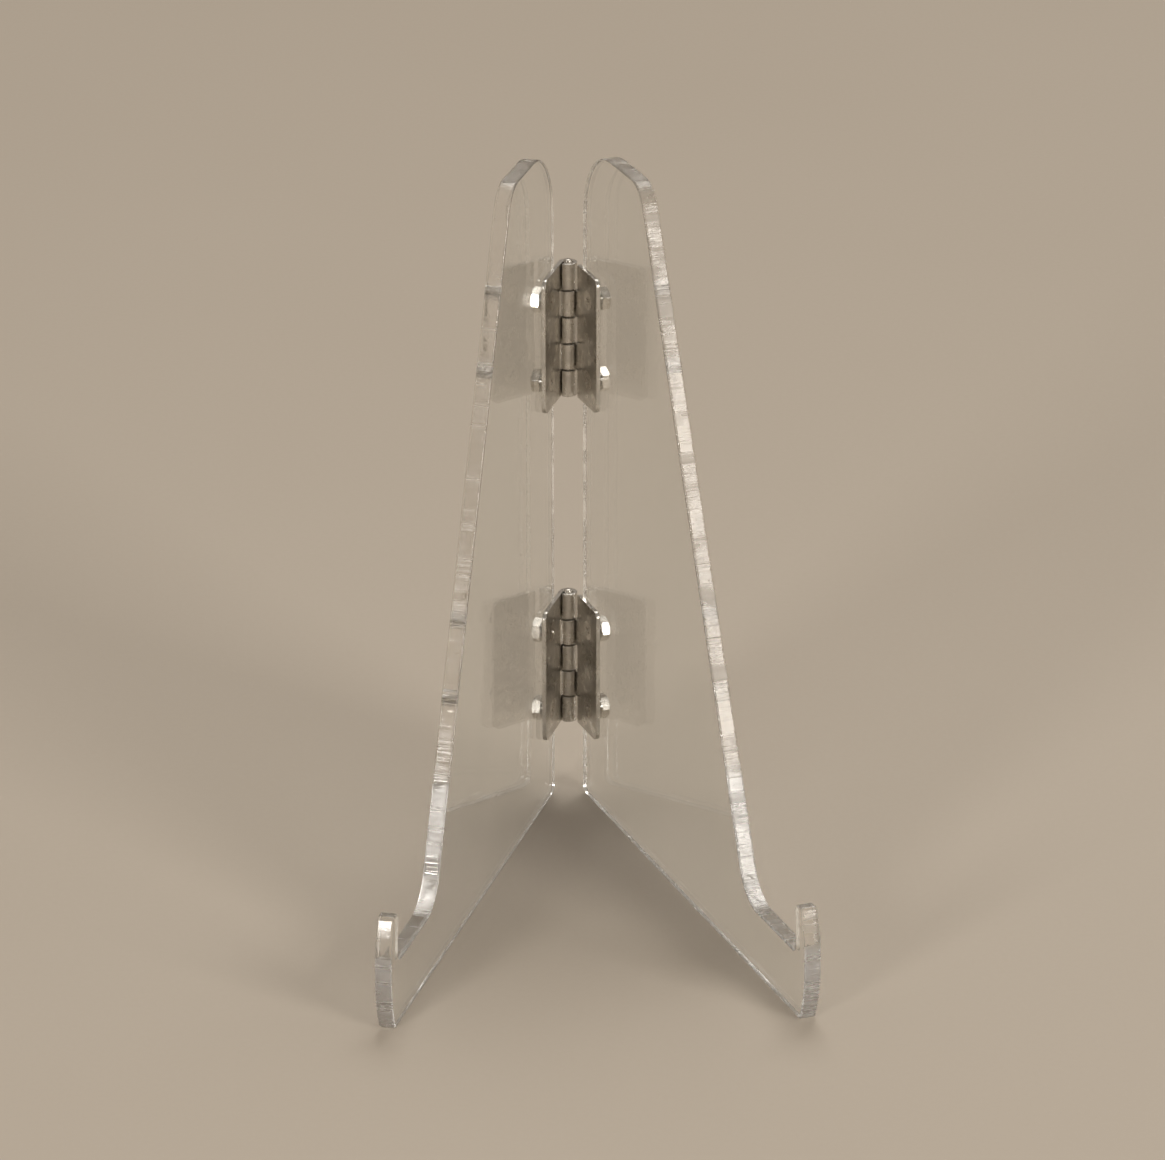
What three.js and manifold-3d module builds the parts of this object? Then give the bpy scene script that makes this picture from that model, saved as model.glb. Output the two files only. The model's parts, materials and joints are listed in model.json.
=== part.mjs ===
// Folding stand that shows a decorated plate upright on a shelf or in a case.
//
// Two flat side panels of clear acrylic stand on their long bottom edges and meet in a V at the back, where two
// small butt hinges join them. Each panel has a foot with a lip at the front, a ledge that carries the plate's
// rim, and a leaning edge that the plate's back rests on. Folding the hinges brings the panels side by side.
//
// Millimetres, +Z up. The feet point to -Y, the hinges are at +Y, and X runs to the right seen from the front.

import * as THREE from 'three';
import { mergeVertices } from 'three/addons/utils/BufferGeometryUtils.js';
import Module from 'manifold-3d';

// Driving dimensions of the stand
const OPEN_ANGLE = THREE.MathUtils.degToRad(36); // between the two panels, as the stand is used
const SHEET = 3; // thickness of the acrylic
const STAND_HEIGHT = 127;
const PANEL_LENGTH = 106.5; // along the panel, from the belly of the foot to the rear edge
const REAR_EDGE_TO_PIN = 2.3; // leaves room for the hinge barrel behind the panel

// Foot, lip, ledge and back rest, seen from the side
const TOE_SETBACK = 2.3; // how far the toe lies behind the belly of the foot
const BELLY_HEIGHT = 6;
const CREASE_HEIGHT = 15.7; // where the lip starts to lean back
const CREASE_SETBACK = 0.35;
const LIP_HEIGHT = 20.9;
const LIP_SETBACK = 2.3; // the lip's front at its top
const LIP_THICKNESS = 2.9;
const LEDGE_HEIGHT = 12;
const LEDGE_FRONT = 4.4; // the lip's back at the ledge
const LEDGE_DEPTH = 23;
const REST_LEAN = THREE.MathUtils.degToRad(24); // of the back rest, from upright

// Roundings of the panel's corners, from the toe round to the lip
const TOE_RADIUS = 1;
const HEEL_RADIUS = 2;
const SHOULDER_RADIUS = 14;
const REST_TOP_RADIUS = 6;
const REST_FOOT_RADIUS = 8;
const LEDGE_RADIUS = 1.2;
const LIP_BACK_RADIUS = 1.1;
const LIP_FRONT_RADIUS = 1;
const BELLY_RADIUS = 20;

// Butt hinges
const HINGE_LENGTH = 25.4;
const HINGE_BOTTOMS = { lower: 14, upper: 78 };
const LEAF_THICKNESS = 0.8;
const LEAF_WIDTH = 12; // from the pin to the leaf's front edge
const LEAF_RADIUS = 1.5;
const BARREL_RADIUS = 1.7;
const PIN_RADIUS = 0.8;
const BORE_RADIUS = 0.88;
const KNUCKLES = 5; // the left leaf has the odd ones, the right leaf the even ones
const KNUCKLE_GAP = 0.3;
const PIN_END = 0.5; // the pin stands out this far at each end

// Fasteners
const SCREW_RADIUS = 1;
const SCREW_LENGTH = 6.2;
const HEAD_RADIUS = 1.8;
const RECESS_LENGTH = 2;
const RECESS_WIDTH = 0.45;
const RECESS_DEPTH = 0.5;
const HOLE_RADIUS = 1.2;
const NUT_ACROSS_FLATS = 4;
const NUT_HEIGHT = 1.6;
const NUT_BORE = 1.15;
const SCREW_TO_PIN = 7.6;
const SCREW_INSET = 5; // from each end of the leaf

const SEAT_GAP = 0.2; // between a leaf or a nut and the face of the panel
const FIT_GAP = 0.1; // between a screw head and its countersink
const ROUND_SEGMENTS = 24;
const CURVE_SEGMENTS = 6;

// A side's own frame has its origin on the pin axis. Its panel runs along -Y, and its inner face is at this X.
const INNER_FACE = BARREL_RADIUS + SEAT_GAP;
const OUTER_FACE = INNER_FACE + SHEET;
const LEAF_FACE = BARREL_RADIUS - LEAF_THICKNESS;
const BELLY_TO_PIN = PANEL_LENGTH + REAR_EDGE_TO_PIN;

const CLEAR_ACRYLIC = new THREE.MeshStandardMaterial({
  color: 0xe9edea,
  roughness: 0.05,
  metalness: 0,
  transparent: true,
  opacity: 0.35,
});
const NICKELLED_STEEL = new THREE.MeshStandardMaterial({ color: 0xb9b8b4, roughness: 0.32, metalness: 1 });

const wasm = await Module();
wasm.setup();

// Booleans

function toSolid(geometry) {
  const bare = geometry.clone();
  bare.deleteAttribute('normal');
  bare.deleteAttribute('uv');
  const merged = mergeVertices(bare, 1e-4);
  return new wasm.Manifold(
    new wasm.Mesh({
      numProp: 3,
      vertProperties: new Float32Array(merged.attributes.position.array),
      triVerts: new Uint32Array(merged.index.array),
    }),
  );
}

function toGeometry(solid) {
  const { vertProperties, triVerts } = solid.getMesh();
  const geometry = new THREE.BufferGeometry();
  geometry.setAttribute('position', new THREE.BufferAttribute(vertProperties, 3));
  geometry.setIndex(new THREE.BufferAttribute(triVerts, 1));
  geometry.computeVertexNormals();
  return geometry;
}

// Shapes

// An outline through the corners, each [x, y, radius], listed anticlockwise and rounded by its own arc.
// A corner of radius 0 stays sharp, and the first corner is a rounded one.
function roundedOutline(corners) {
  const shape = new THREE.Shape();
  corners.forEach(([x, y, radius], i) => {
    const corner = new THREE.Vector2(x, y);
    const before = new THREE.Vector2(...corners.at(i - 1)).sub(corner).normalize();
    const after = new THREE.Vector2(...corners[(i + 1) % corners.length]).sub(corner).normalize();
    if (radius === 0) {
      shape.lineTo(x, y);
      return;
    }
    const halfAngle = Math.acos(before.dot(after)) / 2;
    const middle = before.clone().add(after).normalize();
    const centre = corner.clone().addScaledVector(middle, radius / Math.sin(halfAngle));
    const start = corner.clone().addScaledVector(before, radius / Math.tan(halfAngle)).sub(centre);
    const end = corner.clone().addScaledVector(after, radius / Math.tan(halfAngle)).sub(centre);
    const clockwise = before.cross(after) > 0;
    shape.absarc(centre.x, centre.y, radius, start.angle(), end.angle(), clockwise);
  });
  shape.closePath();
  return shape;
}

// Extrudes an outline drawn in (Y, Z) along X, from x to x + thickness.
function extrudeAcross(shape, x, thickness) {
  const geometry = new THREE.ExtrudeGeometry(shape, {
    depth: thickness,
    bevelEnabled: false,
    curveSegments: CURVE_SEGMENTS,
  });
  const yzx = new THREE.Matrix4().makeBasis(
    new THREE.Vector3(0, 1, 0),
    new THREE.Vector3(0, 0, 1),
    new THREE.Vector3(1, 0, 0),
  );
  return geometry.applyMatrix4(yzx).translate(x, 0, 0);
}

function uprightCylinder(radius, low, high) {
  const geometry = new THREE.CylinderGeometry(radius, radius, high - low, ROUND_SEGMENTS);
  return geometry.rotateX(Math.PI / 2).translate(0, 0, (low + high) / 2);
}

// The low end of a span from one side of the middle plane, mirrored for the left side.
function spanStart(side, near, thickness) {
  return side > 0 ? near : -near - thickness;
}

function screwPlaces() {
  return Object.entries(HINGE_BOTTOMS).flatMap(([hinge, bottom]) => [
    { hinge, end: 'bottom', z: bottom + SCREW_INSET },
    { hinge, end: 'top', z: bottom + HINGE_LENGTH - SCREW_INSET },
  ]);
}

// Pieces

function panelGeometry(side) {
  const restStart = LEDGE_FRONT + LEDGE_DEPTH;
  const restTop = restStart + (STAND_HEIGHT - LEDGE_HEIGHT) * Math.tan(REST_LEAN);
  const corners = [
    [TOE_SETBACK, 0, TOE_RADIUS],
    [PANEL_LENGTH, 0, HEEL_RADIUS],
    [PANEL_LENGTH, STAND_HEIGHT, SHOULDER_RADIUS],
    [restTop, STAND_HEIGHT, REST_TOP_RADIUS],
    [restStart, LEDGE_HEIGHT, REST_FOOT_RADIUS],
    [LEDGE_FRONT, LEDGE_HEIGHT, LEDGE_RADIUS],
    [LIP_SETBACK + LIP_THICKNESS, LIP_HEIGHT, LIP_BACK_RADIUS],
    [LIP_SETBACK, LIP_HEIGHT, LIP_FRONT_RADIUS],
    [CREASE_SETBACK, CREASE_HEIGHT, 0],
    [0, BELLY_HEIGHT, BELLY_RADIUS],
  ];
  const outline = roundedOutline(corners.map(([s, z, radius]) => [s - BELLY_TO_PIN, z, radius]));
  for (const { z } of screwPlaces()) {
    const hole = new THREE.Path();
    hole.absarc(-SCREW_TO_PIN, z, HOLE_RADIUS, 0, 2 * Math.PI, true);
    outline.holes.push(hole);
  }
  return extrudeAcross(outline, spanStart(side, INNER_FACE, SHEET), SHEET);
}

// The left leaf keeps knuckles 0, 2 and 4, and the right leaf keeps 1 and 3.
function keepsKnuckle(side, k) {
  return (k % 2 === 0) === (side < 0);
}

// A leaf from z = 0 to z = HINGE_LENGTH: a flat plate whose rear edge is notched for the other leaf's knuckles.
function leafGeometry(side) {
  const pitch = HINGE_LENGTH / KNUCKLES;
  const notch = -REAR_EDGE_TO_PIN;
  const comb = [];
  for (let k = 0; k < KNUCKLES; k += 1) {
    const low = k * pitch + (k > 0 ? KNUCKLE_GAP / 2 : 0);
    const high = (k + 1) * pitch - (k < KNUCKLES - 1 ? KNUCKLE_GAP / 2 : 0);
    if (keepsKnuckle(side, k)) {
      comb.push({ low, high });
    }
  }
  const rear = comb.flatMap(({ low, high }) => [
    [notch, low, 0],
    [0, low, 0],
    [0, high, 0],
    [notch, high, 0],
  ]);
  const rearEdge = side < 0 ? rear.slice(1, -1) : [[notch, 0, 0], ...rear, [notch, HINGE_LENGTH, 0]];
  const outline = roundedOutline([
    [-LEAF_WIDTH, 0, LEAF_RADIUS],
    ...rearEdge,
    [-LEAF_WIDTH, HINGE_LENGTH, LEAF_RADIUS],
  ]);
  let leaf = toSolid(extrudeAcross(outline, spanStart(side, LEAF_FACE, LEAF_THICKNESS), LEAF_THICKNESS));
  for (const { low, high } of comb) {
    leaf = leaf.add(toSolid(uprightCylinder(BARREL_RADIUS, low, high)));
  }
  leaf = leaf.subtract(toSolid(uprightCylinder(BORE_RADIUS, -1, HINGE_LENGTH + 1)));
  for (const z of [SCREW_INSET, HINGE_LENGTH - SCREW_INSET]) {
    leaf = leaf.subtract(toSolid(countersink(side).translate(side * LEAF_FACE, -SCREW_TO_PIN, z)));
  }
  return toGeometry(leaf);
}

// The countersunk hole in a leaf, its mouth at the origin and its axis along X.
function countersink(side) {
  const mouth = HEAD_RADIUS + FIT_GAP;
  const throat = mouth - LEAF_THICKNESS;
  const profile = [
    [0, -2 * LEAF_THICKNESS],
    [throat, -2 * LEAF_THICKNESS],
    [throat, -LEAF_THICKNESS],
    [mouth, 0],
    [mouth, LEAF_THICKNESS],
    [0, LEAF_THICKNESS],
  ];
  return lathe(profile).rotateY((-side * Math.PI) / 2);
}

// Turns a profile of [radius, height] points, from the axis back to the axis, about Z.
function lathe(profile) {
  const points = profile.map(([radius, height]) => new THREE.Vector2(radius, height));
  return new THREE.LatheGeometry(points, ROUND_SEGMENTS).rotateX(Math.PI / 2);
}

// A countersunk machine screw with a cross recess, its head's face at z = 0 and its tip below.
function screwGeometry() {
  const headDepth = HEAD_RADIUS - SCREW_RADIUS;
  const body = lathe([
    [0, -SCREW_LENGTH],
    [SCREW_RADIUS - 0.2, -SCREW_LENGTH],
    [SCREW_RADIUS, -SCREW_LENGTH + 0.2],
    [SCREW_RADIUS, -headDepth],
    [HEAD_RADIUS, 0],
    [0, 0],
  ]);
  const slot = toSolid(new THREE.BoxGeometry(RECESS_LENGTH, RECESS_WIDTH, 2 * RECESS_DEPTH));
  const crossSlot = toSolid(new THREE.BoxGeometry(RECESS_WIDTH, RECESS_LENGTH, 2 * RECESS_DEPTH));
  return toGeometry(toSolid(body).subtract(slot).subtract(crossSlot));
}

// A hexagon nut below z = 0, its seat at the top.
function nutGeometry() {
  const reach = NUT_ACROSS_FLATS / 2 / Math.cos(Math.PI / 6);
  const centre = new THREE.Vector2(0, 0);
  const corners = Array.from({ length: 6 }, (_, i) => {
    return new THREE.Vector2(reach, 0).rotateAround(centre, (i * Math.PI) / 3);
  });
  const shape = new THREE.Shape(corners);
  shape.closePath();
  const bore = new THREE.Path();
  bore.absarc(0, 0, NUT_BORE, 0, 2 * Math.PI, true);
  shape.holes.push(bore);
  const options = { depth: NUT_HEIGHT, bevelEnabled: false, curveSegments: ROUND_SEGMENTS / 2 };
  return new THREE.ExtrudeGeometry(shape, options).translate(0, 0, -NUT_HEIGHT);
}

// A plain pin with chamfered ends, from below its hinge to above it.
function pinGeometry() {
  const low = -PIN_END;
  const high = HINGE_LENGTH + PIN_END;
  const chamfer = 0.2;
  return lathe([
    [0, low],
    [PIN_RADIUS - chamfer, low],
    [PIN_RADIUS, low + chamfer],
    [PIN_RADIUS, high - chamfer],
    [PIN_RADIUS - chamfer, high],
    [0, high],
  ]);
}

// Assembly

function piece(name, geometry, material) {
  const mesh = new THREE.Mesh(geometry, material);
  mesh.name = name;
  return mesh;
}

// One side of the stand: its panel, its two leaves, and the screws and nuts that hold them on.
function sideGroup(sideName, side) {
  const group = new THREE.Group();
  group.add(piece(`${sideName}_panel`, panelGeometry(side), CLEAR_ACRYLIC));
  for (const [hinge, bottom] of Object.entries(HINGE_BOTTOMS)) {
    const leaf = piece(`${hinge}_hinge_${sideName}_leaf`, leafGeometry(side), NICKELLED_STEEL);
    leaf.position.z = bottom;
    group.add(leaf);
  }
  for (const { hinge, end, z } of screwPlaces()) {
    const screw = piece(`${hinge}_hinge_${sideName}_${end}_screw`, screwGeometry(), NICKELLED_STEEL);
    screw.position.set(side * LEAF_FACE, -SCREW_TO_PIN, z);
    const nut = piece(`${hinge}_hinge_${sideName}_${end}_nut`, nutGeometry(), NICKELLED_STEEL);
    nut.position.set(side * (OUTER_FACE + SEAT_GAP), -SCREW_TO_PIN, z);
    for (const fastener of [screw, nut]) {
      fastener.rotation.y = (-side * Math.PI) / 2;
      group.add(fastener);
    }
  }
  group.rotation.z = (side * OPEN_ANGLE) / 2;
  return group;
}

const stand = new THREE.Group();
stand.add(sideGroup('left', -1));
stand.add(sideGroup('right', 1));
for (const [hinge, bottom] of Object.entries(HINGE_BOTTOMS)) {
  const pin = piece(`${hinge}_hinge_pin`, pinGeometry(), NICKELLED_STEEL);
  pin.position.z = bottom;
  stand.add(pin);
}

// The origin is on the surface that the stand stands on, under the middle of its outline.
const outlineBox = new THREE.Box3().setFromObject(stand, true);
stand.position.y = -(outlineBox.min.y + outlineBox.max.y) / 2;

export default stand;
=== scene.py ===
# %% [markdown]
# # A clear plate display stand
# The real stand is two flat sheets of clear acrylic that stand on edge in a V. Two small butt
# hinges join them at the back, so the stand folds flat. The CAD model of it is the fixed frame
# here: it says how big each piece is and where it goes, and nothing in this file moves it.
# Blender adds what the eye looks for: rounded edges, rolled knuckles, threads, and finishes that
# behave like clear plastic and plated steel. Blender works in metres, so sizes given in
# millimetres are multiplied by MM.

import json
import math

import bpy
from mathutils import Matrix, Vector


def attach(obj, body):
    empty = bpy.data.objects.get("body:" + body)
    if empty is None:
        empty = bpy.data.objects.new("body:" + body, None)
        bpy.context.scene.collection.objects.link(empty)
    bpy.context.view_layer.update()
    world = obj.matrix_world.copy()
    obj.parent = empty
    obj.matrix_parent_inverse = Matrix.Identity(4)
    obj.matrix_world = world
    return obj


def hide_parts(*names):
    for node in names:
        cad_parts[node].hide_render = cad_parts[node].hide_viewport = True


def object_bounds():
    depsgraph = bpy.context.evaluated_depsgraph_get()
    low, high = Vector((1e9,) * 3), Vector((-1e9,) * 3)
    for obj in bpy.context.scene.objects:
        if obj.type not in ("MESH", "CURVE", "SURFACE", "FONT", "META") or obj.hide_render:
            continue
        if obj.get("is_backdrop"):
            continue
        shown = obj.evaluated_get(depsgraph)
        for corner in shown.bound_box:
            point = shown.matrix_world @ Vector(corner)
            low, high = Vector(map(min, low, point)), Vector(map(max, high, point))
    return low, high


MM = 0.001
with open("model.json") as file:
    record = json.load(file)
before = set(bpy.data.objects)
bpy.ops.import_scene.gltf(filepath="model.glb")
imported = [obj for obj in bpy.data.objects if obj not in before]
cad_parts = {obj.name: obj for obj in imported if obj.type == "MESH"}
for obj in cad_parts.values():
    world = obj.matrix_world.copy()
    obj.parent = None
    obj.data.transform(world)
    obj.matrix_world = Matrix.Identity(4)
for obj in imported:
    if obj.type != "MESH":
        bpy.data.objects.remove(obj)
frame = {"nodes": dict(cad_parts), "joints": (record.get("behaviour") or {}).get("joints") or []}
cad_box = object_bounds()
print("CAD box in mm:", [[round(n / MM, 2) for n in corner] for corner in cad_box])

# %% [markdown]
# ## Measuring the stand
# Every position and every main size comes from the frame. The folding joint gives the hinge pin's
# place and how far the V is open. Each half of the stand is easiest to draw flat, with the pin at
# zero, its sheet running away along -Y and its outer face towards +X. So the CAD pieces are
# turned back by half of the V, and read in that position. The left half is the mirror of the
# right, so it is read mirrored and gives the same numbers.

# %% Measure the stand
fold = frame["joints"][0]
pin_place = Vector(fold["pos_m"])
half_angle = -math.radians(fold["range_deg"][0]) / 2


def own_box(node, side=1):
    """A CAD piece's lowest and highest corner in mm, seen flat with the hinge pin at zero."""
    turn = Matrix.Rotation(-side * half_angle, 3, "Z")
    points = [turn @ (v.co - pin_place) / MM for v in frame["nodes"][node].data.vertices]
    low = Vector(min(p[i] for p in points) for i in range(3))
    high = Vector(max(p[i] for p in points) for i in range(3))
    if side < 0:
        low.x, high.x = -high.x, -low.x
    return low, high


sheet_low, sheet_high = own_box("right_panel")
leaf_low, leaf_high = own_box("lower_hinge_right_leaf")
screw_low, screw_high = own_box("lower_hinge_right_bottom_screw")
print("Half angle of the V:", round(math.degrees(half_angle), 2), "degrees")
print("Sheet:", [round(n, 2) for n in (*sheet_low, *sheet_high)])
print("Leaf:", [round(n, 2) for n in (*leaf_low, *leaf_high)])
print("Screw:", [round(n, 2) for n in (*screw_low, *screw_high)])

# %% [markdown]
# ## The camera
# A stand like this is seen from a little above, as it stands on a table, and almost square from
# the front. A long lens some way back keeps the upright edges nearly parallel. The camera could
# be dragged into place by hand, but two angles round the stand and a distance are easier to read
# and to change. It is then aimed a little under the middle of the stand's box.

# %% Place the camera
CAMERA_TURN = -3
CAMERA_RISE = 22
CAMERA_DISTANCE = 1.15
CAMERA_LENS = 203
AIM_DROP = 1.5


def around(turn, rise, distance, centre):
    """A point at that distance from the centre, turned from the front and raised, in degrees."""
    turn, rise = math.radians(turn), math.radians(rise)
    way = (math.sin(turn) * math.cos(rise), -math.cos(turn) * math.cos(rise), math.sin(rise))
    return centre + Vector(way) * distance


def aim(thing, target):
    """Turns a camera or a lamp to look at a point."""
    thing.rotation_euler = (target - thing.location).to_track_quat("-Z", "Y").to_euler()


middle = (Vector(cad_box[0]) + Vector(cad_box[1])) / 2
aim_point = middle - Vector((0, 0, AIM_DROP * MM))
camera_place = around(CAMERA_TURN, CAMERA_RISE, CAMERA_DISTANCE, aim_point)
bpy.ops.object.camera_add(location=camera_place)
camera = bpy.context.object
camera.name = "studio_camera"
camera.data.lens = CAMERA_LENS
aim(camera, aim_point)
bpy.context.scene.camera = camera
print("Camera at", [round(n, 3) for n in camera.location])

# %% [markdown]
# ## Choosing what to work on
# An operator works on whatever is selected, so each step first says exactly what that is. These
# helpers choose a piece, then choose its points, edges or faces by where they are, the way a hand
# would click them.

# %% Helpers for choosing
SAME = 0.01


def near(a, b):
    """True if two lengths in mm are the same for our purposes."""
    return abs(a - b) < SAME


def work_on(piece):
    """Leaves only this piece selected, and makes it the active one."""
    for thing in list(bpy.context.selected_objects):
        thing.select_set(False)
    piece.select_set(True)
    bpy.context.view_layer.objects.active = piece


def pick(piece, kind, wanted):
    """Selects, in edit mode, the points, edges or faces whose corners, in mm, pass a test."""
    work_on(piece)
    bpy.ops.object.mode_set(mode="EDIT")
    bpy.ops.mesh.select_mode(type=kind)
    bpy.ops.mesh.select_all(action="DESELECT")
    bpy.ops.object.mode_set(mode="OBJECT")
    mesh = piece.data
    places = [v.co / MM for v in mesh.vertices]
    if kind == "VERT":
        for vertex, place in zip(mesh.vertices, places):
            vertex.select = wanted([place])
    else:
        for part in mesh.edges if kind == "EDGE" else mesh.polygons:
            part.select = wanted([places[i] for i in part.vertices])
    bpy.ops.object.mode_set(mode="EDIT")


def done():
    """Leaves edit mode."""
    bpy.ops.object.mode_set(mode="OBJECT")


# %% [markdown]
# ## Moving and extruding
# Most of the modelling below is two moves of the hand: shift what is selected, or extrude it. A
# shape that has been extruded or spun can have doubled points, and faces that point inwards, so
# it is cleaned afterwards. Clear plastic shows such a fault at once, as a black or missing patch.

# %% Helpers for shaping
MERGE_WITHIN = 0.001


def move(x=0, y=0, z=0):
    """Moves what is selected in edit mode by so many mm."""
    bpy.ops.transform.translate(value=(x * MM, y * MM, z * MM))


def pull(x=0, y=0, z=0):
    """Extrudes what is selected in edit mode by so many mm."""
    way = (x * MM, y * MM, z * MM)
    bpy.ops.mesh.extrude_region_move(TRANSFORM_OT_translate={"value": way})


def face_out(piece):
    """Merges doubled points and turns every face outwards."""
    work_on(piece)
    bpy.ops.object.mode_set(mode="EDIT")
    bpy.ops.mesh.select_all(action="SELECT")
    bpy.ops.mesh.remove_doubles(threshold=MERGE_WITHIN * MM)
    bpy.ops.mesh.normals_make_consistent(inside=False)
    done()


# %% [markdown]
# ## A bench for mixing finishes
# A finish is a small network of nodes. It could be wired by hand in the Shader editor. In a
# script, a helper that adds a node and sets its numbers in one line does the same, and keeps each
# finish short enough to read like a recipe. Patterns read Object coordinates, which are metres
# measured on the piece itself, so they stay put when the piece moves.

# %% Adding and wiring nodes
class Bench:
    """A material being mixed: its node tree and its one Principled shader."""

    def __init__(self, name):
        self.material = bpy.data.materials.new(name)
        self.material.use_nodes = True
        self.tree = self.material.node_tree
        self.shader = self.tree.nodes["Principled BSDF"]
        self.place = self.node("ShaderNodeTexCoord").outputs["Object"]

    def node(self, kind, **settings):
        """Adds a node. Names that are sockets are set as inputs, and the rest as properties."""
        node = self.tree.nodes.new(kind)
        for key, value in settings.items():
            label = key.replace("_", " ").title()
            if label in node.inputs:
                node.inputs[label].default_value = value
            else:
                setattr(node, key, value)
        return node

    def wire(self, output, target):
        self.tree.links.new(output, target)


# %% [markdown]
# ## Patterns
# Nearly every mark on a real surface can be made from noise. A noise of scale 1000 has features
# about a millimetre across. Stretching its coordinates turns its blobs into lines, and spreading
# a narrow range of its values makes the marks sharp and rare.

# %% Numbers that vary over a surface
class Patterns(Bench):
    """Adds patterns: each gives a number that changes from place to place."""

    def stretched(self, scale, turn=0, source=None):
        """Coordinates turned back about Z, or by three angles, then scaled on each axis."""
        node = self.node("ShaderNodeMapping", vector_type="TEXTURE")
        node.inputs["Rotation"].default_value = turn if isinstance(turn, tuple) else (0, 0, turn)
        node.inputs["Scale"].default_value = [1 / n for n in scale]
        self.wire(source or self.place, node.inputs["Vector"])
        return node.outputs["Vector"]

    def noise(self, vector=None, scale=1.0, detail=3.0, roughness=0.5):
        node = self.node("ShaderNodeTexNoise", scale=scale, detail=detail, roughness=roughness)
        self.wire(vector or self.place, node.inputs["Vector"])
        return node.outputs["Fac"]

    def spread(self, value, low, high, to_low=0.0, to_high=1.0):
        """Maps a value from one range to another, and holds it there."""
        node = self.node("ShaderNodeMapRange")
        ends = {"From Min": low, "From Max": high, "To Min": to_low, "To Max": to_high}
        for label, number in ends.items():
            node.inputs[label].default_value = number
        self.wire(value, node.inputs["Value"])
        return node.outputs["Result"]

    def math(self, operation, a, b):
        node = self.node("ShaderNodeMath", operation=operation)
        for value, socket in zip((a, b), node.inputs):
            if isinstance(value, (int, float)):
                socket.default_value = value
            else:
                self.wire(value, socket)
        return node.outputs["Value"]

    def below(self, axis, level, fade):
        """A share that is 1 under a level on an axis of the piece, and fades to 0 above it."""
        node = self.node("ShaderNodeSeparateXYZ")
        self.wire(self.place, node.inputs["Vector"])
        return self.spread(node.outputs[axis], level, level + fade, 1.0, 0.0)


# %% [markdown]
# ## Colour, relief and the shader
# A pattern becomes visible in three ways: it mixes two colours, it makes some places rougher than
# others, or it tilts the surface a little, which is what a Bump node does. Bumps are stacked from
# coarse to fine. Numbers that are the same all over go straight on the shader's own sockets.

# %% Turning patterns into a finish
class Recipe(Patterns):
    """A whole finish, from its patterns to its shader."""

    def blend(self, value, colour_a, colour_b):
        """Mixes two colours by a value."""
        node = self.node("ShaderNodeMix", data_type="RGBA")
        self.wire(value, node.inputs["Factor"])
        for colour, socket in zip((colour_a, colour_b), (node.inputs[6], node.inputs[7])):
            if isinstance(colour, tuple):
                socket.default_value = (*colour, 1)
            else:
                self.wire(colour, socket)
        return node.outputs[2]

    def bump(self, height, strength, distance, under=None):
        """Relief from a height, laid over the relief that is under it."""
        node = self.node("ShaderNodeBump", strength=strength, distance=distance)
        self.wire(height, node.inputs["Height"])
        if under is not None:
            self.wire(under, node.inputs["Normal"])
        return node.outputs["Normal"]

    def finish(self, colour, roughness, normal, **sockets):
        """Wires the shader and sets its plain numbers."""
        self.wire(colour, self.shader.inputs["Base Color"])
        self.wire(roughness, self.shader.inputs["Roughness"])
        self.wire(normal, self.shader.inputs["Normal"])
        for key, value in sockets.items():
            self.shader.inputs[key.replace("_", " ")].default_value = value
        print("Finish:", self.material.name, "with", len(self.tree.nodes), "nodes")
        return self.material


# %% [markdown]
# ## The clear faces
# Cast acrylic is almost colourless, and bends light a little less than glass does: its index is
# 1.49. Its faces come polished from the mould, so they are nearly a mirror at a shallow angle and
# nearly invisible straight on. What gives them away is small: a slow waviness left by casting,
# and the hairline scratches of handling. Both are kept faint, because plastic that is dirtier
# than that looks like old glass. A scratch could be drawn, but it is simpler to keep only the
# crests of a noise that is stretched into long lines.

# %% Make the hairline scratches
# The lean of each family of scratches in radians, and how fine its pattern is.
SCRATCH_FAMILIES = ((0.5, 11), (-0.9, 17), (1.3, 13))
SCRATCH_SHAPE = (1, 210, 4)
CRESTS = (0.735, 0.78)


def hairlines(mix, turn):
    """Thin lines in three directions, where a stretched noise reaches its crests."""
    scratches = None
    for lean, fineness in SCRATCH_FAMILIES:
        flat = mix.stretched((fineness, fineness, fineness), turn)
        lines = mix.noise(mix.stretched(SCRATCH_SHAPE, (lean, 0, 0), flat), detail=2)
        fine = mix.spread(lines, *CRESTS)
        scratches = fine if scratches is None else mix.math("MAXIMUM", scratches, fine)
    return scratches


# %% [markdown]
# The finish itself puts the patterns together. The waviness tints the sheet by a hair and ripples
# it, the haze makes the polish uneven, and the scratches are a little rough and a little deep.
# Each half of the V has its own turn, so each gets a finish whose patterns are turned with it.

# %% Mix the clear face finish
ACRYLIC_INDEX = 1.49
SIDES = {"left": -1, "right": 1}
FACE_TINTS = (0.985, 0.992, 0.988), (0.968, 0.978, 0.972)
POLISHED, HAZY = 0.004, 0.03


def clear_face(name, turn):
    mix = Recipe(name)
    waves = mix.noise(scale=34, detail=1.5)
    haze = mix.spread(mix.noise(scale=150, detail=4), 0.3, 0.7, POLISHED, HAZY)
    scratches = hairlines(mix, turn)
    roughness = mix.math("ADD", haze, mix.math("MULTIPLY", scratches, 0.10))
    tint = mix.blend(mix.spread(waves, 0.35, 0.65), *FACE_TINTS)
    ripple = mix.bump(waves, 0.10, 0.6 * MM)
    normal = mix.bump(scratches, 0.06, 0.02 * MM, ripple)
    return mix.finish(tint, roughness, normal, Transmission_Weight=1.0, IOR=ACRYLIC_INDEX)


face_finish = {
    name: clear_face(f"clear_face_{name}", side * half_angle) for name, side in SIDES.items()
}

# %% [markdown]
# ## The saw's marks
# The sheet is sawn to shape, then its edges are buffed, which never quite removes the saw's
# marks. They run straight across the thickness, so the pattern is stretched along that direction
# and is fine along the edge. The coordinates are turned back to the flat sheet first. The buffing
# wheel hardly reaches the toe, low at the front of each foot, so the lines are deepest there.

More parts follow.
